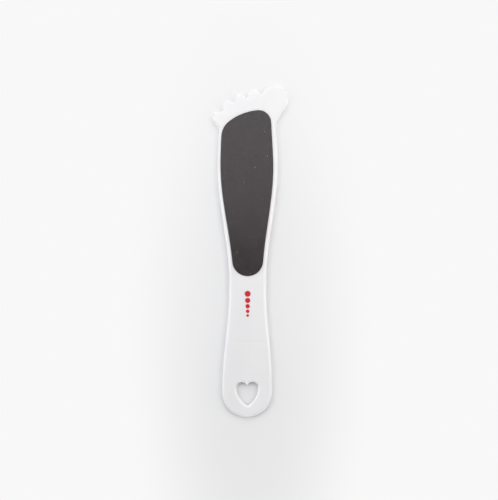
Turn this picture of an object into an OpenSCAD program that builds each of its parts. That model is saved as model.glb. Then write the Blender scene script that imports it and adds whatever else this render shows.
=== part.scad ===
// Foot file: a moulded paddle shaped like a foot, with an abrasive sheet bonded to each face.
// It lies flat with the coarse face up. +Y runs towards the toes, +X towards the big toe, +Z up.
// The origin is under the middle of the outline, on the surface that the file lies on.

/* [Handle] */
// Length from the handle's end to the tip of the big toe
overall_l = 270; // [225:1:320]
// Widest part of the handle
grip_w = 40.4; // [34:0.2:46]
// Length from the handle's end over which it keeps its full width
grip_full_l = 28; // [24:0.5:36]
// Length from the handle's end to the narrowest part
handle_l = 101; // [80:1:115]
// Narrowest width, between handle and blade
neck_w = 30.2; // [24:0.2:38]
// Length that stays at the narrowest width
neck_l = 9.8; // [4:0.2:16]
// How far the handle's end leans towards the little toe's side
grip_lean = 0.8; // [0:0.1:4]

/* [Blade] */
// Widest part of the blade
blade_w = 49.4; // [42:0.2:58]
// Distance from the big toe's tip down to the widest part
blade_wide_drop = 66.5; // [54:0.5:76]
// Width of the blade where the toes begin
toe_base_w = 46.4; // [40:0.2:54]
// Distance from the big toe's tip down to where that width is taken
toe_base_drop = 22.4; // [16:0.2:30]

/* [Big toe] */
// Radius of the big toe
big_toe_r = 11.3; // [9.6:0.1:13.4]
// Distance of its centre from the blade's axis
big_toe_x = 22.3; // [19:0.1:26]
// Distance from its centre down to the corner with the blade
big_toe_root_l = 19.4; // [16.4:0.2:24]

/* [Second toe] */
// Radius of the second toe
second_toe_r = 6.2; // [5.2:0.1:7.4]
// Distance of its centre from the blade's axis
second_toe_x = 5.7; // [4.6:0.1:7]
// Distance from the big toe's tip down to its centre
second_toe_drop = 10.3; // [8.4:0.1:12.4]

/* [Third toe] */
// Radius of the third toe
third_toe_r = 5.35; // [4.6:0.05:6.4]
// Distance of its centre from the blade's axis
third_toe_x = -6.25; // [-7.6:0.05:-5.2]
// Distance from the big toe's tip down to its centre
third_toe_drop = 12.2; // [10:0.1:14.6]

/* [Fourth toe] */
// Radius of the fourth toe
fourth_toe_r = 5.7; // [4.8:0.1:6.8]
// Distance of its centre from the blade's axis
fourth_toe_x = -15.3; // [-17:0.1:-13]
// Distance from the big toe's tip down to its centre
fourth_toe_drop = 18.6; // [16:0.1:22]

/* [Little toe] */
// Radius of the little toe
little_toe_r = 5.7; // [4.8:0.1:6.8]
// Distance of its centre from the blade's axis
little_toe_x = -23.3; // [-27:0.1:-20]
// Distance from the big toe's tip down to its centre
little_toe_drop = 27; // [23:0.2:31]
// Distance from its centre down to the corner with the blade
little_toe_root_l = 9.2; // [7.7:0.1:12]

/* [Moulding] */
// Thickness of the paddle
body_t = 5; // [4.2:0.1:7]
// Radius that rounds the paddle's outer edges
edge_round = 1.9; // [1:0.1:2]
// Radius in the corners between the toes
crotch_r = 0.7; // [0.4:0.1:1.2]

/* [Hang hole] */
// Width of the heart-shaped hole
heart_w = 17.6; // [15:0.1:20]
// Height of the hole
heart_h = 18.9; // [16:0.1:22]
// Distance from the handle's end to the heart's point
heart_from_end = 9.6; // [8:0.1:13]
// Distance of the hole from the handle's axis, towards the big toe's side
heart_aside = 0.3; // [-1:0.1:1]
// Angle at which the hole leans, its point towards the big toe's side
heart_tilt = 1.2; // [-3:0.1:3]
// Radius of the heart's two lobes
heart_lobe_r = 4.35; // [3.8:0.05:4.6]
// Radius of the heart's bowed sides
heart_side_r = 18.5; // [15:0.5:40]
// Radius of the heart's point
heart_tip_r = 2.3; // [0.8:0.1:3]
// Radius that rounds the hole's lips
lip_round = 1.4; // [0.8:0.1:1.8]
// Radius of the tongue between the lobes
tongue_r = 0.8; // [0.6:0.1:1.6]
// Radius left on the tongue's crest, inside its rounded lip
tongue_crest_r = 0.2; // [0.1:0.05:0.5]

/* [Abrasive sheet] */
// Width of bare paddle left beside the sheet
rim_w = 3.3; // [2.6:0.1:5]
// Distance from the handle's end to where the sheet's round lower end begins
sheet_base_l = 126; // [116:0.5:140]
// Distance from the big toe's tip down to the corner on that side
big_side_corner_drop = 31; // [26:0.5:37]
// Distance from the big toe's tip down to the corner on the little toe's side
little_side_corner_drop = 42; // [37:0.5:50]
// Corner radius on the big toe's side
big_side_corner_r = 10.4; // [8.6:0.1:12.4]
// Corner radius on the little toe's side
little_side_corner_r = 16.6; // [14:0.1:20]
// Radius of the sheet's top edge
sheet_top_r = 42.2; // [35:0.2:50]
// Angle at which the coarse sheet is stuck on, towards the little toe's side
coarse_tilt = 0.5; // [-0.8:0.1:0.8]
// Angle at which the fine sheet is stuck on, towards the little toe's side
fine_tilt = 0; // [-0.8:0.1:0.8]

/* [Laminate] */
// Thickness of the adhesive film
adhesive_t = 0.1; // [0.05:0.01:0.16]
// How far the adhesive stops short of the sheet's edge
adhesive_setback = 0.5; // [0.2:0.1:1]
// Thickness of the waterproof backing sheet
backing_t = 0.3; // [0.2:0.05:0.5]
// Thickness of the coarse grit coat
coarse_grit_t = 0.35; // [0.25:0.05:0.6]
// Thickness of the fine grit coat
fine_grit_t = 0.2; // [0.1:0.05:0.35]
// Bare strip of backing round the grit coat
grit_setback = 0.25; // [0.1:0.05:0.5]

/* [Smoothness] */
// Angle that one facet covers on the large arcs
facet_angle = 10; // [6:1:15]
// Angle that one facet covers on the small corner arcs
corner_facet_angle = 24; // [15:1:40]
// Facets along each side of the handle and blade
side_facets = 30; // [20:1:50]
// Facets across each rounded edge
round_facets = 6; // [4:1:10]

/* [Hidden] */

// Overrun of every cut past the face it leaves
cut_over = 1;
// Edge points closer together than this are one point
same_point = 0.01;

// An outline is a list of edge points in order anticlockwise round the material. Each edge point
// is [x, y, nx, ny], where (nx, ny) is the unit normal that points out of the material.
// Places on the paddle are measured from its axis and from the handle's end.

// Smooth step from 0 to 1 and its slope
function ease(t) = let (s = min(max(t, 0), 1)) s * s * (3 - 2 * s);
function ease_slope(t) = t <= 0 || t >= 1 ? 0 : 6 * t * (1 - t);

// Half widths along the paddle, from the handle's round end to the foot of the toes
grip_r = grip_w / 2;
neck_top = handle_l + neck_l;
half_widths = [
    [grip_r, grip_w / 2],
    [grip_full_l, grip_w / 2],
    [handle_l, neck_w / 2],
    [neck_top, neck_w / 2],
    [overall_l - blade_wide_drop, blade_w / 2],
    [overall_l - toe_base_drop, toe_base_w / 2]
];

function stretch_at(y, i = 0) =
    i < len(half_widths) - 2 && y > half_widths[i + 1][0] ? stretch_at(y, i + 1) : i;
function stretch_l(i) = half_widths[i + 1][0] - half_widths[i][0];
function stretch_rise(i) = half_widths[i + 1][1] - half_widths[i][1];
function half_w(y) =
    let (i = stretch_at(y))
    half_widths[i][1] + stretch_rise(i) * ease((y - half_widths[i][0]) / stretch_l(i));
function half_w_slope(y) =
    let (i = stretch_at(y))
    stretch_rise(i) / stretch_l(i) * ease_slope((y - half_widths[i][0]) / stretch_l(i));

// The handle's axis leans away from the blade's axis below the neck
function below_neck_share(y) = max(0, neck_top - y) / neck_top;
function axis_x(y) = -grip_lean * pow(below_neck_share(y), 2);
function axis_slope(y) = 2 * grip_lean * below_neck_share(y) / neck_top;

// Edge point on one long side at height y; dir is 1 on the big toe's side and -1 on the other
function side_point(y, dir, inset = 0) =
    let (slope = dir * axis_slope(y) + half_w_slope(y), long = norm([1, slope]))
    [axis_x(y) + dir * (half_w(y) - inset), y, dir / long, -slope / long];
function side(y_from, y_to, dir, inset = 0) = [
    for (i = [0 : side_facets])
        side_point(y_from + (y_to - y_from) * i / side_facets, dir, inset)
];

// Parts of an edge point, and the direction from one point to another
function place(p) = [p[0], p[1]];
function normal(p) = [p[2], p[3]];
function heading(from, to) = atan2(to[1] - from[1], to[0] - from[0]);
function turn(a_from, a_to) = (a_to - a_from) % 360 + ((a_to - a_from) % 360 < 0 ? 360 : 0);

// Arc of an outside edge, anticlockwise, and of a corner between two lobes, clockwise
function bulge(c, r, a_from, a_to, step = facet_angle) =
    let (sweep = turn(a_from, a_to), n = max(2, ceil(sweep / step)))
    [
        for (i = [0 : n])
            let (a = a_from + sweep * i / n)
            [c[0] + r * cos(a), c[1] + r * sin(a), cos(a), sin(a)]
    ];
function hollow(c, r, a_from, a_to) =
    let (sweep = turn(a_to, a_from), n = max(2, ceil(sweep / corner_facet_angle)))
    [
        for (i = [0 : n])
            let (a = a_from - sweep * i / n)
            [c[0] + r * cos(a), c[1] + r * sin(a), -cos(a), -sin(a)]
    ];

// Point at given distances from a and b, to the right of the way from a to b, or left with -1
function meet(a, from_a, b, from_b, hand = 1) =
    let (
        gap = norm(b - a),
        u = (b - a) / gap,
        along = (gap * gap + from_a * from_a - from_b * from_b) / (2 * gap),
        off = sqrt(max(0, from_a * from_a - along * along))
    )
    a + u * along + hand * off * [u[1], -u[0]];

// Toes from the big one to the little one, each as [centre, radius]
toes = [
    [[big_toe_x, overall_l - big_toe_r], big_toe_r],
    [[second_toe_x, overall_l - second_toe_drop], second_toe_r],
    [[third_toe_x, overall_l - third_toe_drop], third_toe_r],
    [[fourth_toe_x, overall_l - fourth_toe_drop], fourth_toe_r],
    [[little_toe_x, overall_l - little_toe_drop], little_toe_r]
];
last_toe = len(toes) - 1;

// Corner circle that touches two neighbouring toes; it grows where they stand further apart
function between_r(i) =
    let (gap = norm(toes[i + 1][0] - toes[i][0]) - toes[i][1] - toes[i + 1][1])
    max(crotch_r, gap / 2);
function between_c(i) =
    meet(toes[i][0], toes[i][1] + between_r(i), toes[i + 1][0], toes[i + 1][1] + between_r(i));

// Corner circle where an outer toe meets the blade's side, and the straight flank above it
function root_point(toe, root_l, dir) = side_point(toe[0][1] - root_l, dir);
function root_c(toe, root_l, dir) =
    let (p = root_point(toe, root_l, dir))
    place(p) + crotch_r * normal(p);
function flank_angle(toe, root_l, dir) =
    let (c = root_c(toe, root_l, dir), reach = norm(c - toe[0]))
    heading(toe[0], c) + dir * acos(min(1, (toe[1] + crotch_r) / reach));

big_flank = flank_angle(toes[0], big_toe_root_l, 1);
big_root = root_point(toes[0], big_toe_root_l, 1);
big_root_c = root_c(toes[0], big_toe_root_l, 1);
little_flank = flank_angle(toes[last_toe], little_toe_root_l, -1);
little_root = root_point(toes[last_toe], little_toe_root_l, -1);
little_root_c = root_c(toes[last_toe], little_toe_root_l, -1);

function toe_start(i) = i == 0 ? big_flank : heading(toes[i][0], between_c(i - 1));
function toe_end(i) = i == last_toe ? little_flank : heading(toes[i][0], between_c(i));
function toe_edge(i) = bulge(toes[i][0], toes[i][1], toe_start(i), toe_end(i));
function between_edge(i) =
    let (c = between_c(i))
    hollow(c, between_r(i), heading(c, toes[i][0]), heading(c, toes[i + 1][0]));

end_c = [axis_x(grip_r), grip_r];
paddle_outline = [
    each bulge(end_c, grip_r, 180 + facet_angle, -facet_angle),
    each side(grip_r, big_root[1], 1),
    each hollow(big_root_c, crotch_r, heading(big_root_c, place(big_root)), big_flank + 180),
    for (i = [0 : last_toe - 1]) each [each toe_edge(i), each between_edge(i)],
    each toe_edge(last_toe),
    each hollow(little_root_c, crotch_r, little_flank + 180, heading(little_root_c, place(little_root))),
    each side(little_root[1], grip_r, -1)
];

// The sheet keeps a rim of bare paddle beside it, and its corners and top edge are tangent arcs
base_point = side_point(sheet_base_l, 1, rim_w);
base_tilt = atan2(-base_point[3], base_point[2]);
base_r = (base_point[0] - axis_x(sheet_base_l)) / cos(base_tilt);
base_c = place(base_point) - base_r * normal(base_point);
big_corner = side_point(overall_l - big_side_corner_drop, 1, rim_w);
big_corner_c = place(big_corner) - big_side_corner_r * normal(big_corner);
little_corner = side_point(overall_l - little_side_corner_drop, -1, rim_w);
little_corner_c = place(little_corner) - little_side_corner_r * normal(little_corner);
top_c = meet(
    big_corner_c, sheet_top_r - big_side_corner_r,
    little_corner_c, sheet_top_r - little_side_corner_r, -1
);
sheet_outline = [
    each bulge(base_c, base_r, 180 + base_tilt, -base_tilt),
    each side(sheet_base_l, big_corner[1], 1, rim_w),
    each bulge(
        big_corner_c, big_side_corner_r,
        heading([0, 0], normal(big_corner)), heading(top_c, big_corner_c)
    ),
    each bulge(top_c, sheet_top_r, heading(top_c, big_corner_c), heading(top_c, little_corner_c)),
    each bulge(
        little_corner_c, little_side_corner_r,
        heading(top_c, little_corner_c), heading([0, 0], normal(little_corner))
    ),
    each side(little_corner[1], sheet_base_l, -1, rim_w)
];

// The heart: two lobes, bowed sides that touch them inside, a round point and a tongue on top
heart_lobe_y = heart_from_end + heart_h - heart_lobe_r;
heart_x = axis_x(heart_from_end + heart_h / 2) + heart_aside;
heart_tip_c = [heart_x, heart_from_end + heart_tip_r];
function lobe_c(dir) = [heart_x + dir * (heart_w / 2 - heart_lobe_r), heart_lobe_y];
function heart_side_c(dir) =
    meet(heart_tip_c, heart_side_r - heart_tip_r, lobe_c(dir), heart_side_r - heart_lobe_r, -dir);
tongue_edge_r = max(tongue_r, heart_w / 2 - 2 * heart_lobe_r);
tongue_c = meet(lobe_c(1), heart_lobe_r + tongue_edge_r, lobe_c(-1), heart_lobe_r + tongue_edge_r);
heart_outline = [
    each bulge(
        heart_tip_c, heart_tip_r,
        heading(heart_side_c(-1), heart_tip_c), heading(heart_side_c(1), heart_tip_c), corner_facet_angle
    ),
    each bulge(
        heart_side_c(1), heart_side_r,
        heading(heart_side_c(1), heart_tip_c), heading(heart_side_c(1), lobe_c(1))
    ),
    each bulge(
        lobe_c(1), heart_lobe_r,
        heading(heart_side_c(1), lobe_c(1)), heading(lobe_c(1), tongue_c)
    ),
    each hollow(tongue_c, tongue_edge_r, heading(tongue_c, lobe_c(1)), heading(tongue_c, lobe_c(-1))),
    each bulge(
        lobe_c(-1), heart_lobe_r,
        heading(lobe_c(-1), tongue_c), heading(heart_side_c(-1), lobe_c(-1))
    ),
    each bulge(
        heart_side_c(-1), heart_side_r,
        heading(heart_side_c(-1), lobe_c(-1)), heading(heart_side_c(-1), heart_tip_c)
    )
];

// Neighbouring arcs share an end, so a point that repeats the one before it is left out
function tidy(edge) = [
    for (i = [0 : len(edge) - 1])
        let (before = edge[(i + len(edge) - 1) % len(edge)])
        if (norm(place(edge[i]) - place(before)) > same_point) edge[i]
];
// The same edge seen from the other side, as the wall of a hole
function as_hole(edge) = [
    for (i = [len(edge) - 1 : -1 : 0]) [edge[i][0], edge[i][1], -edge[i][2], -edge[i][3]]
];
// The edge turned about a point
function turned(edge, angle, c) = [
    for (p = edge)
        let (out = place(p) - c, n = normal(p))
        [
            c[0] + out[0] * cos(angle) - out[1] * sin(angle),
            c[1] + out[0] * sin(angle) + out[1] * cos(angle),
            n[0] * cos(angle) - n[1] * sin(angle),
            n[0] * sin(angle) + n[1] * cos(angle)
        ]
];
// The heart's lip narrows round the tongue, which is too slim for the whole of it
function lip_share(p) =
    let (
        slim = min(1, (tongue_edge_r - tongue_crest_r) / lip_round),
        away = norm(place(p) - tongue_c) - tongue_edge_r
    )
    slim + (1 - slim) * ease(away / heart_lobe_r);
function narrowed(edge) = [
    for (p = edge) let (share = lip_share(p)) [p[0], p[1], share * p[2], share * p[3]]
];
// Plain points of the edge moved into the material by inset
function inset_points(edge, inset) = [for (p = edge) place(p) - inset * normal(p)];

paddle_edge = tidy(paddle_outline);
coarse_edge = turned(tidy(sheet_outline), coarse_tilt, base_c);
fine_edge = turned(tidy(sheet_outline), fine_tilt, base_c);
heart_edge = as_hole(
    turned(narrowed(tidy(heart_outline)), heart_tilt, [heart_x, heart_from_end + heart_h / 2])
);

// Heights: the file lies on its fine grit, and the layers are bonded to the paddle's flat faces
body_bottom = adhesive_t + backing_t + fine_grit_t;
body_top = body_bottom + body_t;

// The middle of the outline, which becomes the origin
xs = [for (p = paddle_edge) p[0]];
ys = [for (p = paddle_edge) p[1]];
middle = [(min(xs) + max(xs)) / 2, (min(ys) + max(ys)) / 2];

// A closed band of material along an edge, rounded over at both faces by radius r; it ends at a
// straight inner wall, so that a plain plate meets it face to face
module rounded_band(edge, r) {
    count = len(edge);
    quarter = [for (k = [0 : round_facets]) k * 90 / round_facets];
    section = [
        for (a = quarter) [r - r * sin(a), r - r * cos(a)],
        for (a = quarter) [r - r * cos(a), body_t - r + r * sin(a)]
    ];
    rows = len(section);
    points = [for (s = section) for (p = edge) [p[0] - s[0] * p[2], p[1] - s[0] * p[3], s[1]]];
    function at(row, i) = (row % rows) * count + i % count;
    faces = [
        for (row = [0 : rows - 1])
            for (i = [0 : count - 1])
                each [
                    [at(row, i), at(row + 1, i), at(row + 1, i + 1)],
                    [at(row, i), at(row + 1, i + 1), at(row, i + 1)]
                ]
    ];
    polyhedron(points, faces);
}

// A flat sheet cut to an edge, from height z up
module cut_sheet(edge, inset, z, t) {
    translate([0, 0, z])
        linear_extrude(t)
            polygon(inset_points(edge, inset));
}

module place_part() {
    translate([-middle[0], -middle[1], 0]) children();
}

// Moulded body: rounded rim, flat plate and the rounded lips of the heart
module paddle_body() {
    color("#f2f1f2")
        place_part()
            translate([0, 0, body_bottom])
                union() {
                    rounded_band(paddle_edge, edge_round);
                    rounded_band(heart_edge, lip_round);
                    difference() {
                        cut_sheet(paddle_edge, edge_round, 0, body_t);
                        cut_sheet(heart_edge, lip_round, -cut_over, body_t + 2 * cut_over);
                    }
                }
}

// One bonded layer, at a height above the coarse face (face 1) or below the fine face (face -1)
module layer(face, inset, lift, t) {
    place_part()
        if (face > 0)
            cut_sheet(coarse_edge, inset, body_top + lift, t);
        else
            cut_sheet(fine_edge, inset, body_bottom - lift - t, t);
}

module adhesive_film(face) {
    color("#cfcabd")
        layer(face, adhesive_setback, 0, adhesive_t);
}

module backing_sheet(face) {
    color("#3c3b3d")
        layer(face, 0, adhesive_t, backing_t);
}

module grit_coat(face, t) {
    color(face > 0 ? "#504d4f" : "#6b686a")
        layer(face, grit_setback, adhesive_t + backing_t, t);
}

paddle_body();
adhesive_film(1);  // coarse_adhesive_film
backing_sheet(1);  // coarse_backing_sheet
grit_coat(1, coarse_grit_t);  // coarse_grit_coat
adhesive_film(-1);  // fine_adhesive_film
backing_sheet(-1);  // fine_backing_sheet
grit_coat(-1, fine_grit_t);  // fine_grit_coat
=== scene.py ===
"""Looks of a foot file: a moulded white paddle with an abrasive sheet bonded to each face."""

import math
import random

import bmesh
import bpy
from bpy.props import FloatProperty, FloatVectorProperty, IntProperty, PointerProperty
from mathutils import Matrix, Vector, noise
from mathutils.kdtree import KDTree


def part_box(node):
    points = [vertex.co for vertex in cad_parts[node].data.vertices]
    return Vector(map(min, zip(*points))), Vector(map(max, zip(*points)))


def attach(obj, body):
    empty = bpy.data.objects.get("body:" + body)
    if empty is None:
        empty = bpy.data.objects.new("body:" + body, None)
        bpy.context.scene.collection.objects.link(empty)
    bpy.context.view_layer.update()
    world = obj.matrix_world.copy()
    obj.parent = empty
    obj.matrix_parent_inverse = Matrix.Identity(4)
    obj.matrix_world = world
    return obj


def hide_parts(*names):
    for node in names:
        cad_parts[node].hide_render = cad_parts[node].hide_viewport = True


bl_info = {
    "name": "Foot file",
    "version": (1, 0, 0),
    "blender": (4, 5, 0),
    "location": "3D view > Sidebar > Foot file",
    "description": "Dresses the packed foot file in its moulded, bonded and printed pieces",
    "category": "Object",
}

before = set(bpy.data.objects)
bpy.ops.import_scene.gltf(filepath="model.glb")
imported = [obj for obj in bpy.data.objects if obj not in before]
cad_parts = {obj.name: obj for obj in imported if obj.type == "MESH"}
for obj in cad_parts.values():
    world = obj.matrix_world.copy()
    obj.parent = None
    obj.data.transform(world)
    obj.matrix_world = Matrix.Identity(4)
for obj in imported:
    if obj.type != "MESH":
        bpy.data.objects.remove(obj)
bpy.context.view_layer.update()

MM = 0.001
BODY = "root"
# Points closer together than this are one point
WELD = 0.001 * MM
# An outline's point is dropped where the outline turns by less than this
STRAIGHT = math.radians(0.05)
# Share of the widest circle that fits inside an edge which its rounding may take
CIRCLE_SHARE = 0.8
# Times the outline of a bonded layer is made finer
LAYER_ROUNDS = 2
# Edges of the adhesive that turn by more than this stay sharp
FILM_SHARP = math.radians(50)
# Share of the adhesive's hollow that is reached halfway from the middle to a face
HALF_HOLLOW = 0.4
# Faces across the rounding of a die-cut edge
CUT_STEPS = 3
# Sides of a printed dot, and the width of the flat ring inside its edge
DOT_SIDES = 64
DOT_RING = 0.04 * MM

# Which way each grit coat faces, the size of its grains, its patchiness as a share, and its seed
COATS = {
    "coarse": (1, 0.33 * MM, 0.35, 11),
    "fine": (-1, 0.18 * MM, 0.08, 23),
}
# Chance that a point sinks into a hollow, and the shares of the relief in hollows and in swells
HOLLOW_CHANCE = 0.08
HOLLOW_SHARE = 0.85
SWELL_SHARE = 0.15
SWELL_SIZE = 4 * MM
# How far a point strays from its place, and how far the grid stays off the rim, in pitches
STRAY = 0.28
RIM_MARGIN = 0.6
# Points of the grid belong to one row where they lie this close
ROW_GAP = 0.01 * MM
# Distance between specks of pale dust that lodge among the grains, and their colour
DUST_PITCH = 7 * MM
DUST = (0.35, 0.34, 0.33, 1)

# Levels of a soft pattern between which a finish changes
PATTERN_LOW, PATTERN_HIGH = 0.3, 0.7

# How far the floor lies under the file, and its number of squares each way
FLOOR_DROP = 0.02 * MM
FLOOR_SQUARES = 8
# Between these distances from a point on the handle, in metres, a painted glow at the backdrop's
# level takes over the floor for camera and glossy rays, and distances across the file count more
# than those along it, so the glow thins the file's shadow round the toes but not at the handle
PAINTED_GLOW_FADE = (0.08, 0.3)
FADE_SHIFT = (0, 0.06, 0)
FADE_SCALE = (2.8, 1, 1)
# Sines of the heights over the horizon between which the pale backdrop ends
BACKDROP_EDGE = (0.2, 0.5)
# Each lamp's place and size in metres, the setting that holds its power, and its tone
LAMPS = {
    "key_lamp": ((0.0, 0.5, 0.9), (1.8, 1.08), "key_power", (1, 1, 1)),
    "left_lamp": ((-1.0, -0.02, 0.78), (0.45, 1.1), "side_power", (0.93, 0.96, 1)),
    "right_lamp": ((1.0, -0.02, 0.78), (0.45, 1.1), "side_power", (1, 0.97, 0.93)),
    "toe_lamp": ((0.0, 1.3, 0.55), (1.0, 0.5), "toe_power", (1, 1, 1)),
    "handle_lamp": ((0.0, -1.2, 0.5), (1.0, 0.5), "handle_power", (1, 1, 1)),
}
# Width of the camera's sensor in millimetres, and how far the camera sees in metres
SENSOR_WIDTH = 36
SIGHT = 20


# Sizes and colours that a user would change


def length(name, description, default, **limits):
    """A size in metres, shown as a length."""
    return FloatProperty(
        name=name, description=description, default=default, unit="LENGTH", precision=5, **limits
    )


def colour(name, description, default):
    """A colour with three linear channels."""
    return FloatVectorProperty(
        name=name, description=description, default=default, subtype="COLOR", size=3, min=0, max=1
    )


class PaddleSizes(bpy.types.PropertyGroup):
    """Sizes and colour of the moulded paddle."""

    edge_round: length("Edge rounding", "Height of the rounded outer edges", 1.9 * MM, min=0)
    edge_reach: length("Edge reach", "How far the outer edges' rounding runs in", 2.9 * MM, min=0)
    lip_round: length("Lip rounding", "Height of the hang hole's rolled lips", 1.4 * MM, min=0)
    lip_reach: length("Lip reach", "How far the rolled lips run out", 2.2 * MM, min=0)
    round_steps: IntProperty(
        name="Rounding steps", description="Faces across each rounded edge", default=8, min=3
    )
    outline_rounds: IntProperty(
        name="Outline rounds", description="Times the outline is made finer", default=2, min=1
    )
    flash_height: length("Flash height", "How far the parting line stands proud", 0.03 * MM, min=0)
    flash_width: length("Flash width", "Width of the parting line", 0.16 * MM, min=0)
    witness_place: length("Witness line", "Where the mould's insert ends on the handle", -73 * MM)
    witness_width: length("Witness width", "Length of the step at that line", 0.8 * MM, min=0)
    witness_step: length("Witness step", "Height of the step at that line", 0.13 * MM, min=0)
    plastic: colour("Plastic", "Colour of the moulded plastic", (0.865, 0.86, 0.872))


class SheetSizes(bpy.types.PropertyGroup):
    """Sizes and colours of the two abrasive laminates."""

    grain_pitch: length("Grain pitch", "Distance between neighbouring grains", 0.25 * MM, min=0)
    coarse_relief: length("Coarse relief", "Depth between the coarse grains", 0.15 * MM, min=0)
    fine_relief: length("Fine relief", "Depth between the fine grains", 0.05 * MM, min=0)
    cut_round: length("Cut edge", "Radius of the die-cut edges", 0.05 * MM, min=0)
    squeeze: length("Adhesive hollow", "How far the adhesive's edge draws in", 0.03 * MM, min=0)
    coarse_tone: colour("Coarse grit", "Colour of the coarse grit", (0.0132, 0.0062, 0.008))
    fine_tone: colour("Fine grit", "Colour of the fine grit", (0.085, 0.08, 0.082))
    backing_tone: colour("Backing", "Colour of the waterproof backing", (0.02, 0.02, 0.021))
    adhesive_tone: colour("Adhesive", "Colour of the adhesive film", (0.55, 0.5, 0.38))


class DotSizes(bpy.types.PropertyGroup):
    """Sizes and colour of the printed row of dots."""

    count: IntProperty(name="Dots", description="Number of printed dots", default=5, min=1)
    largest: length("Largest dot", "Diameter of the dot nearest the sheet", 4.8 * MM, min=0)
    smallest: length("Smallest dot", "Diameter of the dot nearest the hole", 2.2 * MM, min=0)
    gap: length("Gap", "Distance between neighbouring dots", 0.9 * MM, min=0)
    across: length("Across", "Place of the row across the handle", -2.3 * MM)
    along: length("Along", "Place of the row's middle along the handle", -42.9 * MM)
    ink_height: length("Ink height", "Thickness of the ink", 0.015 * MM, min=0)
    ink: colour("Ink", "Colour of the ink", (0.68, 0.008, 0.02))


class StageSizes(bpy.types.PropertyGroup):
    """Floor, lamps and camera."""

    view_height: length("View height", "Length that the picture shows from top to bottom", 0.40665)
    view_across: length("View across", "Place of the camera across the file", -1.22 * MM)
    view_along: length("View along", "Place of the camera along the file", 0.77 * MM)
    camera_distance: length("Camera distance", "Height of the camera above the file", 0.75, min=0.1)
    floor_size: length("Floor", "Width and length of the floor", 6.0, min=1)
    floor_tone: colour("Floor", "Colour of the floor", (0.862, 0.862, 0.869))
    backdrop: FloatProperty(
        name="Backdrop", description="Level of the pale backdrop at the horizon", default=0.94
    )
    overhead: FloatProperty(name="Overhead", description="Level of the sky above", default=0.13)
    key_power: FloatProperty(name="Key lamp", description="Power, in watts", default=9.2)
    side_power: FloatProperty(name="Side lamps", description="Power, in watts", default=3.9)
    toe_power: FloatProperty(name="Toe lamp", description="Power, in watts", default=0.4)
    handle_power: FloatProperty(name="Handle lamp", description="Power, in watts", default=1.5)


# Outlines and walls


def node_outline(node, rounds):
    """Loops of loose edges at mid-height of a CAD node, made finer and smooth."""
    low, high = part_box(node)
    bm = bmesh.new()
    bm.from_mesh(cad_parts[node].data)
    bmesh.ops.remove_doubles(bm, verts=bm.verts, dist=WELD)
    bmesh.ops.bisect_plane(
        bm,
        geom=bm.verts[:] + bm.edges[:] + bm.faces[:],
        dist=WELD,
        plane_co=(low + high) / 2,
        plane_no=(0, 0, 1),
        clear_inner=True,
        clear_outer=True,
    )
    bmesh.ops.dissolve_limit(bm, angle_limit=STRAIGHT, verts=bm.verts, edges=bm.edges)
    for _ in range(rounds):
        middles = set(bmesh.ops.subdivide_edges(bm, edges=bm.edges[:], cuts=1)["geom_inner"])
        corners = [v for v in bm.verts if v not in middles]
        bmesh.ops.smooth_vert(
            bm, verts=corners, factor=0.5, use_axis_x=True, use_axis_y=True, use_axis_z=True
        )
    return bm


def turning(loop):
    """Twice the area inside a loop, positive where it runs anticlockwise."""
    return sum(a.co.x * b.co.y - b.co.x * a.co.y for a, b in zip(loop, loop[1:] + loop[:1]))


def closed_loops(bm):
    """Loops of loose edges as lists of vertices, outer first, with the material on the left."""
    bm.verts.index_update()
    left = dict.fromkeys(bm.verts[:])
    loops = []
    while left:
        vert = next(iter(left))
        loop = []
        while vert is not None:
            del left[vert]
            loop.append(vert)
            beside = [e.other_vert(vert) for e in vert.link_edges]
            vert = next((v for v in beside if v in left), None)
        loops.append(loop)
    loops.sort(key=lambda loop: -abs(turning(loop)))
    for i, loop in enumerate(loops):
        if (turning(loop) > 0) != (i == 0):
            loop.reverse()
    return loops


def edges_of(bm, loop):
    """The edges between a loop's neighbouring vertices."""
    return [bm.edges.get((a, b)) for a, b in zip(loop, loop[1:] + loop[:1])]


def inward(loop):
    """Level unit vectors that point from a loop's points into the material."""
    ahead, behind = loop[1:] + loop[:1], loop[-1:] + loop[:-1]
    runs = [(b.co - a.co).normalized() for a, b in zip(behind, ahead)]
    return [Vector((-run.y, run.x, 0)) for run in runs]


def fitting_shares(loop, reach):
    """Share of a rounding's reach at each point, limited by the circle that fits inside."""
    tree = KDTree(len(loop))
    for i, vert in enumerate(loop):
        tree.insert(vert.co, i)
    tree.balance()
    widest = reach / CIRCLE_SHARE
    shares = []
    for vert, into in zip(loop, inward(loop)):
        radius = widest
        for near, _, gap in tree.find_range(vert.co, 2 * widest):
            depth = (near - vert.co).dot(into)
            if depth > 0:
                radius = min(radius, gap * gap / (2 * depth))
        shares.append(radius / widest)
    return shares


def extrude_loop(bm, loop):
    """Extrudes a loop in place and returns the new loop in the same order."""
    made = bmesh.ops.extrude_edge_only(bm, edges=edges_of(bm, loop))["geom"]
    fresh = {v for v in made if isinstance(v, bmesh.types.BMVert)}
    return [
        next(v for v in (e.other_vert(old) for e in old.link_edges) if v in fresh) for old in loop
    ]


def extrude_rows(bm, loop, rows, side, shares=None):
    """Extrudes a mid-height loop towards one face through rows of (inset, lift)."""
    shares = shares or [1] * len(loop)
    start, inwards = [v.co.copy() for v in loop], inward(loop)
    row = loop
    for inset, lift in rows:
        row = extrude_loop(bm, row)
        for vert, place, into, share in zip(row, start, inwards, shares):
            vert.co = place + share * inset * into + Vector((0, 0, side * lift))
    return row


def fill(bm, loops):
    """Fills loops with triangles, scaled up meanwhile, so that close points don't merge."""
    edges = [e for loop in loops for e in edges_of(bm, loop)]
    bmesh.ops.scale(bm, vec=Vector((1, 1, 1)) / MM, verts=bm.verts)
    bmesh.ops.triangle_fill(bm, use_beauty=True, edges=edges, normal=(0, 0, 1))
    bmesh.ops.scale(bm, vec=Vector((1, 1, 1)) * MM, verts=bm.verts)


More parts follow.
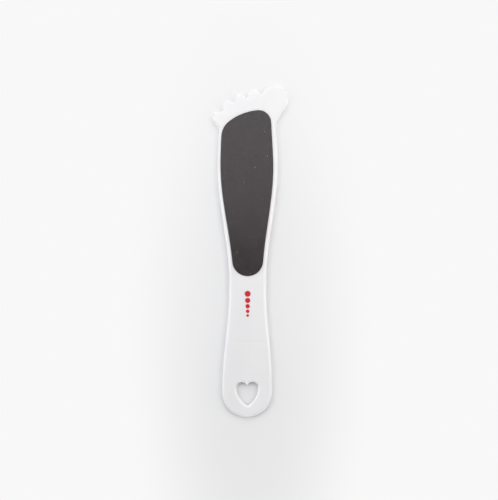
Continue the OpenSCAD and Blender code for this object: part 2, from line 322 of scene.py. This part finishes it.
def quarter_turn(reach, rise, wall, steps):
    """Rows of (inset, lift) that round a wall over into a flat face."""
    angles = [math.pi / 2 * k / steps for k in range(1, steps + 1)]
    return [(reach * (1 - math.cos(a)), wall + rise * math.sin(a)) for a in angles]


def layer(node, rows):
    """A thin layer with a CAD node's outline, its edge shaped alike towards both faces."""
    bm = node_outline(node, LAYER_ROUNDS)
    loop = closed_loops(bm)[0]
    for side in (1, -1):
        fill(bm, [extrude_rows(bm, loop, rows, side)])
    bmesh.ops.recalc_face_normals(bm, faces=bm.faces)
    return bm


def add_piece(bm, name, finish, node=None):
    """Makes the finished mesh a piece that rides on the part and may stand for a CAD node."""
    mesh = bpy.data.meshes.new(name)
    bm.to_mesh(mesh)
    bm.free()
    mesh.materials.append(finish)
    piece = bpy.data.objects.new(name, mesh)
    bpy.context.scene.collection.objects.link(piece)
    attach(piece, BODY)
    if node:
        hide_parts(node)
    return piece


def even_shading(piece, sharp_angle=None):
    """Smooth shading in which the flat faces stay flat and marked edges stay sharp."""
    piece.data.polygons.foreach_set("use_smooth", [True] * len(piece.data.polygons))
    if sharp_angle:
        piece.data.set_sharp_from_angle(angle=sharp_angle)
    modifier = piece.modifiers.new("flat_faces_stay_flat", "WEIGHTED_NORMAL")
    modifier.weight = 100
    modifier.keep_sharp = True


# Finishes


class Finish:
    """A material on a Principled shader, with patterns that follow Object coordinates."""

    def __init__(self, name, **sockets):
        self.material = bpy.data.materials.new(name)
        self.material.use_nodes = True
        self.tree = self.material.node_tree
        self.shader = self.tree.nodes["Principled BSDF"]
        for socket, value in sockets.items():
            self.shader.inputs[socket.replace("_", " ")].default_value = value
        self.place = self.tree.nodes.new("ShaderNodeTexCoord").outputs["Object"]

    def node(self, kind, inputs, **settings):
        """A node with its inputs set to values or linked to other nodes' outputs."""
        node = self.tree.nodes.new("ShaderNode" + kind)
        for setting, value in settings.items():
            setattr(node, setting, value)
        for key, value in inputs.items():
            if isinstance(value, bpy.types.NodeSocket):
                self.tree.links.new(value, node.inputs[key])
            else:
                node.inputs[key].default_value = value
        return node

    def wear(self, socket, value):
        """Links a pattern to one of the shader's sockets."""
        self.tree.links.new(value, self.shader.inputs[socket])

    def stretched(self, along):
        """Object coordinates squeezed lengthwise, so that a pattern on them runs along the file."""
        return self.node("Mapping", {"Vector": self.place, "Scale": (1, along, 1)}).outputs[0]

    def cloud(self, size, detail=3.0, roughness=0.5, place=None):
        """Soft noise whose lumps are about as large as size."""
        inputs = {
            "Vector": place or self.place,
            "Scale": 1 / size,
            "Detail": detail,
            "Roughness": roughness,
        }
        return self.node("TexNoise", inputs).outputs["Fac"]

    def cells(self, size, output):
        """Cells about as large as size, as a distance or as a colour for each cell."""
        inputs = {"Vector": self.place, "Scale": 1 / size}
        return self.node("TexVoronoi", inputs).outputs[output]

    def grade(self, value, *stops):
        """Turns a value into a four-channel colour or a level by stops of (place, tone)."""
        node = self.node("ValToRGB", {"Fac": value})
        ramp = node.color_ramp
        while len(ramp.elements) < len(stops):
            ramp.elements.new(1)
        for element, (place, tone) in zip(ramp.elements, stops):
            element.position = place
            element.color = tone if isinstance(tone, tuple) else (tone, tone, tone, 1)
        return node.outputs["Color"]

    def between(self, pattern, low, high):
        """Lets a soft pattern run from one tone to another."""
        return self.grade(pattern, (PATTERN_LOW, low), (PATTERN_HIGH, high))

    def blend(self, share, a, b, how="MIX"):
        """Mixes two tones."""
        inputs = {"Factor": share, 6: a, 7: b}
        return self.node("Mix", inputs, data_type="RGBA", blend_type=how).outputs[2]

    def relief(self, height, depth, under=None):
        """Bump of a depth in metres, over another bump where one is given."""
        inputs = {"Height": height, "Distance": depth, "Strength": 1.0}
        if under is not None:
            inputs["Normal"] = under
        return self.node("Bump", inputs).outputs["Normal"]


def tint(tone, share):
    """A tone made lighter or darker, as four channels."""
    return (*(min(1, c * share) for c in tone), 1)


def plastic_finish(tone):
    """Satin moulded plastic with a faint flow pattern and handling marks."""
    f = Finish(
        "satin_white_plastic",
        IOR=1.59,
        Coat_Weight=0.4,
        Coat_Roughness=0.2,
        Subsurface_Weight=0.6,
        Subsurface_Radius=(1.0, 0.95, 0.9),
        Subsurface_Scale=2.2 * MM,
    )
    flow = f.cloud(22 * MM, detail=2, place=f.stretched(0.4))
    f.wear("Base Color", f.between(flow, tint(tone, 0.985), tint(tone, 1.01)))
    handling = f.cloud(16 * MM, detail=2, place=f.stretched(0.5))
    f.wear("Roughness", f.between(handling, 0.34, 0.37))
    skin = f.relief(f.cloud(0.9 * MM, detail=2), 0.002 * MM)
    f.wear("Normal", f.relief(f.cloud(12 * MM, detail=1), 0.012 * MM, skin))
    return f.material


def grit_finish(name, tone, grain, patchy):
    """Abrasive grains in dark resin, with patches and streaks whose tone differs by a share."""
    f = Finish(name, IOR=1.62)
    tops = f.grade(f.cells(grain, "Distance"), (0.6, 1.0), (0.8, 0.0))
    shade = f.grade(f.cells(grain, "Color"), (0.1, 0.6), (0.5, 1.0), (0.9, 1.5))
    mottle = f.cloud(8 * MM, detail=6, roughness=0.6)
    mottle = f.grade(mottle, (0.34, 1 - patchy), (0.68, 1 + patchy))
    rolled = f.cloud(2.5 * MM, detail=3, place=f.stretched(0.06))
    rolled = f.grade(rolled, (0.34, 1 - patchy / 2), (0.66, 1 + patchy / 2))
    body = f.blend(1.0, tint(tone, 1), shade, "MULTIPLY")
    body = f.blend(1.0, body, mottle, "MULTIPLY")
    body = f.blend(1.0, body, rolled, "MULTIPLY")
    specks = f.grade(f.cells(DUST_PITCH, "Distance"), (0.035, 0.8), (0.07, 0.0))
    paleness = f.grade(f.cells(DUST_PITCH, "Color"), (0.4, 0.08), (0.75, 1.0))
    dust = f.blend(1.0, specks, paleness, "MULTIPLY")
    f.wear("Base Color", f.blend(dust, body, DUST))
    f.wear("Roughness", f.grade(f.cells(grain * 1.3, "Color"), (0.2, 0.15), (0.8, 0.23)))
    f.wear("Normal", f.relief(tops, grain * 0.06))
    return f.material


def backing_finish(tone):
    """Waterproof backing with a fibrous, slightly waxy face."""
    f = Finish("waterproof_backing", IOR=1.5)
    fibre = f.cloud(0.5 * MM, detail=4, place=f.stretched(0.15))
    f.wear("Base Color", f.between(fibre, tint(tone, 0.75), tint(tone, 1.4)))
    f.wear("Roughness", f.between(fibre, 0.5, 0.7))
    f.wear("Normal", f.relief(fibre, 0.02 * MM))
    return f.material


def adhesive_finish(tone):
    """Cloudy amber adhesive with small trapped bubbles."""
    f = Finish("amber_adhesive", IOR=1.47)
    haze = f.cloud(2.5 * MM, detail=3)
    bubbles = f.cells(0.8 * MM, "Distance")
    bubbles = f.grade(bubbles, (0.1, tint(tone, 1.5)), (0.2, tint(tone, 1)))
    f.wear("Base Color", f.blend(haze, bubbles, tint(tone, 0.8)))
    f.wear("Roughness", f.between(haze, 0.2, 0.45))
    f.wear("Normal", f.relief(haze, 0.02 * MM))
    return f.material


def ink_finish(tone):
    """Pad-printed ink, a little uneven where it was pressed on."""
    f = Finish("red_ink", IOR=1.5)
    press = f.cloud(0.7 * MM, detail=4, roughness=0.6)
    f.wear("Base Color", f.between(press, tint(tone, 0.85), tint(tone, 1.08)))
    f.wear("Roughness", f.between(press, 0.3, 0.42))
    f.wear("Normal", f.relief(press, 0.004 * MM))
    return f.material


def floor_finish_with_painted_glow(tone, backdrop):
    """Pale matt paper, painted with a glow at the backdrop's level away from the handle for camera
    and glossy rays, which thins the file's shadow round the toes.
    """
    f = Finish("pale_paper", Specular_IOR_Level=0.2, Roughness=0.8)
    pulp = f.cloud(250 * MM, detail=3)
    f.wear("Base Color", f.between(pulp, tint(tone, 0.99), tint(tone, 1.01)))
    about = f.node("Mapping", {"Vector": f.place, "Location": FADE_SHIFT, "Scale": FADE_SCALE})
    away = f.node("VectorMath", {0: about.outputs[0]}, operation="LENGTH").outputs["Value"]
    fade = {"Value": away, "From Min": PAINTED_GLOW_FADE[0], "From Max": PAINTED_GLOW_FADE[1]}
    far = f.node("MapRange", fade, interpolation_type="SMOOTHSTEP").outputs["Result"]
    rays = f.node("LightPath", {}).outputs
    seen = f.node("Math", {0: rays["Is Camera Ray"], 1: rays["Is Glossy Ray"]}, operation="MAXIMUM")
    seen = f.node("Math", {0: seen.outputs[0], 1: rays["Is Transmission Ray"]}, operation="MAXIMUM")
    share = f.node("Math", {0: far, 1: seen.outputs[0]}, operation="MULTIPLY").outputs[0]
    # Painted glow: the floor shines at the backdrop's level away from the handle, which lightens
    # part of the file's shadow
    glow = f.node("Emission", {"Strength": backdrop}).outputs[0]
    mixed = f.node("MixShader", {0: share, 1: f.shader.outputs[0], 2: glow}).outputs[0]
    f.tree.links.new(mixed, f.tree.nodes["Material Output"].inputs["Surface"])
    return f.material


# Pieces


class FOOTFILE_OT_moulded_paddle(bpy.types.Operator):
    """Moulds the paddle with its rounded edges, rolled hole lips, parting line and witness line"""

    bl_idname = "footfile.moulded_paddle"
    bl_label = "Moulded paddle"

    def execute(self, context):
        sizes = context.scene.paddle_sizes
        low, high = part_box("paddle_body")
        half = (high.z - low.z) / 2
        bm = node_outline("paddle_body", sizes.outline_rounds)
        ends = {1: [], -1: []}
        edge, lip = (sizes.edge_reach, sizes.edge_round), (sizes.lip_reach, sizes.lip_round)
        for loop, (reach, rise) in zip(closed_loops(bm), (edge, lip)):
            wall = half - rise
            rows = [(0, sizes.flash_width / 2), (0, wall)]
            rows += quarter_turn(reach, rise, wall, sizes.round_steps)
            shares = fitting_shares(loop, reach)
            for side in ends:
                ends[side].append(extrude_rows(bm, loop, rows, side, shares))
            self.raise_flash(loop, sizes.flash_height)
        for side in ends:
            fill(bm, ends[side])
        self.cut_witness_line(bm, high.z, sizes)
        bmesh.ops.recalc_face_normals(bm, faces=bm.faces)
        finish = plastic_finish(sizes.plastic)
        piece = add_piece(bm, "moulded_paddle", finish, "paddle_body")
        even_shading(piece)
        return {"FINISHED"}

    def raise_flash(self, loop, flash):
        """Pushes the loop at mid-height out of the wall."""
        for vert, into in zip(loop, inward(loop)):
            vert.co -= flash * into

    def cut_witness_line(self, bm, top, sizes):
        """Leaves a shallow step across the handle's upper face."""
        reach = sizes.witness_width / 2
        for y in (sizes.witness_place + reach, sizes.witness_place - reach):
            flat = [f for f in bm.faces if all(v.co.z > top - WELD for v in f.verts)]
            geom = dict.fromkeys(g for f in flat for g in (f, *f.edges, *f.verts))
            cut = bmesh.ops.bisect_plane(
                bm, geom=list(geom), dist=WELD, plane_co=(0, y, 0), plane_no=(0, 1, 0)
            )
            for edge in cut["geom_cut"]:
                if isinstance(edge, bmesh.types.BMEdge):
                    edge.smooth = False
        for vert in cut["geom_cut"]:
            if isinstance(vert, bmesh.types.BMVert):
                vert.co.z -= sizes.witness_step


class FOOTFILE_OT_adhesive_films(bpy.types.Operator):
    """Lays the adhesive film on each face, with an edge that draws in a little"""

    bl_idname = "footfile.adhesive_films"
    bl_label = "Adhesive films"

    def execute(self, context):
        sizes = context.scene.sheet_sizes
        finish = adhesive_finish(sizes.adhesive_tone)
        for side in COATS:
            node = f"{side}_adhesive_film"
            low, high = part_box(node)
            half = (high.z - low.z) / 2
            rows = [(-sizes.squeeze * HALF_HOLLOW, half / 2), (-sizes.squeeze, half)]
            piece = add_piece(layer(node, rows), f"{side}_adhesive", finish, node)
            even_shading(piece, FILM_SHARP)
        return {"FINISHED"}


class FOOTFILE_OT_backing_sheets(bpy.types.Operator):
    """Lays the waterproof backing sheets, with edges softened by the die that cut them"""

    bl_idname = "footfile.backing_sheets"
    bl_label = "Backing sheets"

    def execute(self, context):
        sizes = context.scene.sheet_sizes
        finish = backing_finish(sizes.backing_tone)
        for side in COATS:
            node = f"{side}_backing_sheet"
            low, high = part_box(node)
            wall = (high.z - low.z) / 2 - sizes.cut_round
            rows = [(0, wall)] + quarter_turn(sizes.cut_round, sizes.cut_round, wall, CUT_STEPS)
            piece = add_piece(layer(node, rows), f"{side}_backing", finish, node)
            even_shading(piece)
        return {"FINISHED"}


class FOOTFILE_OT_grit_coats(bpy.types.Operator):
    """Scatters grains over both abrasive faces, as a surface of small peaks and hollows"""

    bl_idname = "footfile.grit_coats"
    bl_label = "Grit coats"

    def execute(self, context):
        sizes = context.scene.sheet_sizes
        self.coat("coarse", sizes.grain_pitch, sizes.coarse_relief, sizes.coarse_tone)
        self.coat("fine", sizes.grain_pitch, sizes.fine_relief, sizes.fine_tone)
        return {"FINISHED"}

    def coat(self, side, pitch, relief, tone):
        """One coat: a grid cut to the sheet's outline, roughened on its open face."""
        up, grain, patchy, seed = COATS[side]
        node = f"{side}_grit_coat"
        low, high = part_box(node)
        open_z, bond_z = (high.z, low.z) if up > 0 else (low.z, high.z)
        bm = node_outline(node, LAYER_ROUNDS)
        rim = closed_loops(bm)[0]
        for vert in rim:
            vert.co.z = open_z - up * relief
        inner = self.grid_inside(bm, rim, low, high, pitch, open_z)
        fill(bm, [rim] + inner)
        dice = random.Random(seed)
        on_rim = set(rim)
        for vert in bm.verts:
            if vert in on_rim:
                continue
            swell = 0.5 + 0.5 * noise.noise(vert.co / SWELL_SIZE)
            sunk = max(0.0, dice.random() - (1 - HOLLOW_CHANCE)) / HOLLOW_CHANCE
            deep = relief * (HOLLOW_SHARE * sunk + SWELL_SHARE * swell)
            stray = Vector((dice.uniform(-STRAY, STRAY), dice.uniform(-STRAY, STRAY), 0))
            vert.co += pitch * stray
            vert.co.z = open_z - up * deep
        self.close_under(bm, rim, bond_z)
        bmesh.ops.recalc_face_normals(bm, faces=bm.faces)
        finish = grit_finish(f"{side}_abrasive", tone, grain, patchy)
        add_piece(bm, f"{side}_grit", finish, node)

    def grid_inside(self, bm, rim, low, high, pitch, z):
        """Adds a square grid, cuts off what lies outside the rim and returns the grid's own rim."""
        middle, span = (low + high) / 2, high - low
        place = Matrix.Translation((middle.x, middle.y, z))
        grid = bmesh.ops.create_grid(
            bm,
            x_segments=round(span.x / pitch),
            y_segments=round(span.y / pitch),
            size=0.5,
            matrix=place @ Matrix.Diagonal((span.x, span.y, 1, 1)),
        )["verts"]
        margin = RIM_MARGIN * pitch
        walls = [(a.co.copy(), b.co.copy()) for a, b in zip(rim, rim[1:] + rim[:1])]
        rows = {}
        for vert in grid:
            rows.setdefault(round(vert.co.y / ROW_GAP), []).append(vert)
        outside = []
        for row in rows.values():
            y = row[0].co.y
            spans = [self.width_at(walls, y + d) for d in (-margin, 0, margin)]
            if None in spans:
                outside += row
                continue
            left = max(s[0] for s in spans) + margin
            right = min(s[1] for s in spans) - margin
            outside += [v for v in row if not left < v.co.x < right]
        bmesh.ops.delete(bm, geom=outside, context="VERTS")
        on_rim = set(rim)
        loose = [v for v in bm.verts if not v.link_faces and v not in on_rim]
        bmesh.ops.delete(bm, geom=loose, context="VERTS")
        return self.open_loops(bm)

    def width_at(self, walls, y):
        """Where the outline's left and right sides are at one place along it, or None beyond."""
        hits = [
            a.x + (b.x - a.x) * (y - a.y) / (b.y - a.y)
            for a, b in walls
            if (a.y > y) != (b.y > y)
        ]
        return (min(hits), max(hits)) if hits else None

    def open_loops(self, bm):
        """Loops of edges that have a face on one side only."""
        left = dict.fromkeys(e for e in bm.edges if e.is_boundary)
        loops = []
        while left:
            edge = next(iter(left))
            vert = edge.verts[0]
            loop = []
            while edge is not None:
                del left[edge]
                loop.append(vert)
                vert = edge.other_vert(vert)
                edge = next((e for e in vert.link_edges if e in left), None)
            loops.append(loop)
        return loops

    def close_under(self, bm, rim, bond_z):
        """Runs the rim down to the backing and closes the bonded face."""
        under = extrude_loop(bm, rim)
        for vert in under:
            vert.co.z = bond_z
        fill(bm, [under])


class FOOTFILE_OT_printed_dots(bpy.types.Operator):
    """Prints a row of dots on the handle, each one smaller than the last"""

    bl_idname = "footfile.printed_dots"
    bl_label = "Printed dots"

    def execute(self, context):
        sizes = context.scene.dot_sizes
        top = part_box("paddle_body")[1].z
        last = max(1, sizes.count - 1)
        widths = [
            sizes.largest + (sizes.smallest - sizes.largest) * i / last for i in range(sizes.count)
        ]
        y = sizes.along + (sum(widths) + sizes.gap * (sizes.count - 1)) / 2
        bm = bmesh.new()
        for width in widths:
            place = Matrix.Translation((sizes.across, y - width / 2, top))
            bmesh.ops.create_circle(
                bm, cap_ends=True, segments=DOT_SIDES, radius=width / 2, matrix=place
            )
            y -= width + sizes.gap
        made = bmesh.ops.extrude_face_region(bm, geom=bm.faces[:], use_keep_orig=True)["geom"]
        raised = [g for g in made if isinstance(g, bmesh.types.BMVert)]
        bmesh.ops.translate(bm, vec=(0, 0, sizes.ink_height), verts=raised)
        caps = [g for g in made if isinstance(g, bmesh.types.BMFace)]
        bmesh.ops.inset_individual(bm, faces=caps, thickness=DOT_RING, depth=0)
        bmesh.ops.recalc_face_normals(bm, faces=bm.faces)
        add_piece(bm, "printed_dots", ink_finish(sizes.ink))
        return {"FINISHED"}


class FOOTFILE_OT_stage(bpy.types.Operator):
    """Sets the floor, the lamps, the even daylight and the camera"""

    bl_idname = "footfile.stage"
    bl_label = "Floor, lamps and camera"

    def execute(self, context):
        sizes = context.scene.stage_sizes
        self.lay_floor(sizes)
        for name, (place, size, power, tone) in LAMPS.items():
            self.hang_lamp(name, place, size, getattr(sizes, power), tone)
        self.spread_daylight(context.scene, sizes)
        self.place_camera(context.scene, sizes)
        return {"FINISHED"}

    def lay_floor(self, sizes):
        """A pale floor just under the file, with a painted glow away from the handle."""
        bm = bmesh.new()
        bmesh.ops.create_grid(
            bm, x_segments=FLOOR_SQUARES, y_segments=FLOOR_SQUARES, size=sizes.floor_size / 2
        )
        bmesh.ops.translate(bm, vec=(0, 0, -FLOOR_DROP), verts=bm.verts)
        mesh = bpy.data.meshes.new("floor")
        bm.to_mesh(mesh)
        bm.free()
        mesh.materials.append(floor_finish_with_painted_glow(sizes.floor_tone, sizes.backdrop))
        floor = bpy.data.objects.new("floor", mesh)
        bpy.context.scene.collection.objects.link(floor)

    def hang_lamp(self, name, place, size, power, tone):
        """A soft box that faces the file."""
        lamp = bpy.data.lights.new(name, "AREA")
        lamp.shape = "RECTANGLE"
        lamp.size, lamp.size_y = size
        lamp.energy = power
        lamp.color = tone
        box = bpy.data.objects.new(name, lamp)
        box.location = place
        box.rotation_euler = (-Vector(place)).to_track_quat("-Z", "Y").to_euler()
        box.visible_camera = False
        bpy.context.scene.collection.objects.link(box)

    def spread_daylight(self, scene, sizes):
        """A pale backdrop round the horizon that fades into dimmer light overhead."""
        world = bpy.data.worlds.new("daylight")
        world.use_nodes = True
        nodes, links = world.node_tree.nodes, world.node_tree.links
        height = nodes.new("ShaderNodeSeparateXYZ")
        links.new(nodes.new("ShaderNodeTexCoord").outputs["Generated"], height.inputs[0])
        fade = nodes.new("ShaderNodeMapRange")
        fade.interpolation_type = "SMOOTHSTEP"
        levels = {
            "From Min": BACKDROP_EDGE[0],
            "From Max": BACKDROP_EDGE[1],
            "To Min": sizes.backdrop,
            "To Max": sizes.overhead,
        }
        for socket, level in levels.items():
            fade.inputs[socket].default_value = level
        links.new(height.outputs["Z"], fade.inputs["Value"])
        background = nodes["Background"]
        background.inputs["Color"].default_value = (1, 1, 1, 1)
        links.new(fade.outputs["Result"], background.inputs["Strength"])
        scene.world = world

    def place_camera(self, scene, sizes):
        """A camera straight above the file, with the toes at the top of the picture."""
        lens = bpy.data.cameras.new("camera")
        lens.sensor_fit = "AUTO"
        lens.sensor_width = SENSOR_WIDTH
        lens.lens = lens.sensor_width * sizes.camera_distance / sizes.view_height
        lens.clip_end = SIGHT
        camera = bpy.data.objects.new("camera", lens)
        low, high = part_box("paddle_body")
        height = (low.z + high.z) / 2 + sizes.camera_distance
        camera.location = (sizes.view_across, sizes.view_along, height)
        scene.collection.objects.link(camera)
        scene.camera = camera
        scene.view_settings.view_transform = "Standard"


class FOOTFILE_PT_sidebar(bpy.types.Panel):
    """Lists the pieces of the foot file and the stage"""

    bl_label = "Foot file"
    bl_space_type = "VIEW_3D"
    bl_region_type = "UI"
    bl_category = "Foot file"

    def draw(self, context):
        for operator in OPERATORS:
            self.layout.operator(operator.bl_idname)


OPERATORS = (
    FOOTFILE_OT_moulded_paddle,
    FOOTFILE_OT_adhesive_films,
    FOOTFILE_OT_backing_sheets,
    FOOTFILE_OT_grit_coats,
    FOOTFILE_OT_printed_dots,
    FOOTFILE_OT_stage,
)
SETTINGS = {
    "paddle_sizes": PaddleSizes,
    "sheet_sizes": SheetSizes,
    "dot_sizes": DotSizes,
    "stage_sizes": StageSizes,
}


def register():
    """Adds the settings, the operators and the panel to Blender."""
    for group in SETTINGS.values():
        bpy.utils.register_class(group)
    for name, group in SETTINGS.items():
        setattr(bpy.types.Scene, name, PointerProperty(type=group))
    for operator in OPERATORS:
        bpy.utils.register_class(operator)
    bpy.utils.register_class(FOOTFILE_PT_sidebar)


def unregister():
    """Takes them out again."""
    bpy.utils.unregister_class(FOOTFILE_PT_sidebar)
    for operator in reversed(OPERATORS):
        bpy.utils.unregister_class(operator)
    for name in SETTINGS:
        delattr(bpy.types.Scene, name)
    for group in SETTINGS.values():
        bpy.utils.unregister_class(group)


def main():
    """Dresses the part."""
    register()
    bpy.ops.footfile.moulded_paddle()
    bpy.ops.footfile.adhesive_films()
    bpy.ops.footfile.backing_sheets()
    bpy.ops.footfile.grit_coats()
    bpy.ops.footfile.printed_dots()
    bpy.ops.footfile.stage()


if __name__ == "__main__":
    main()
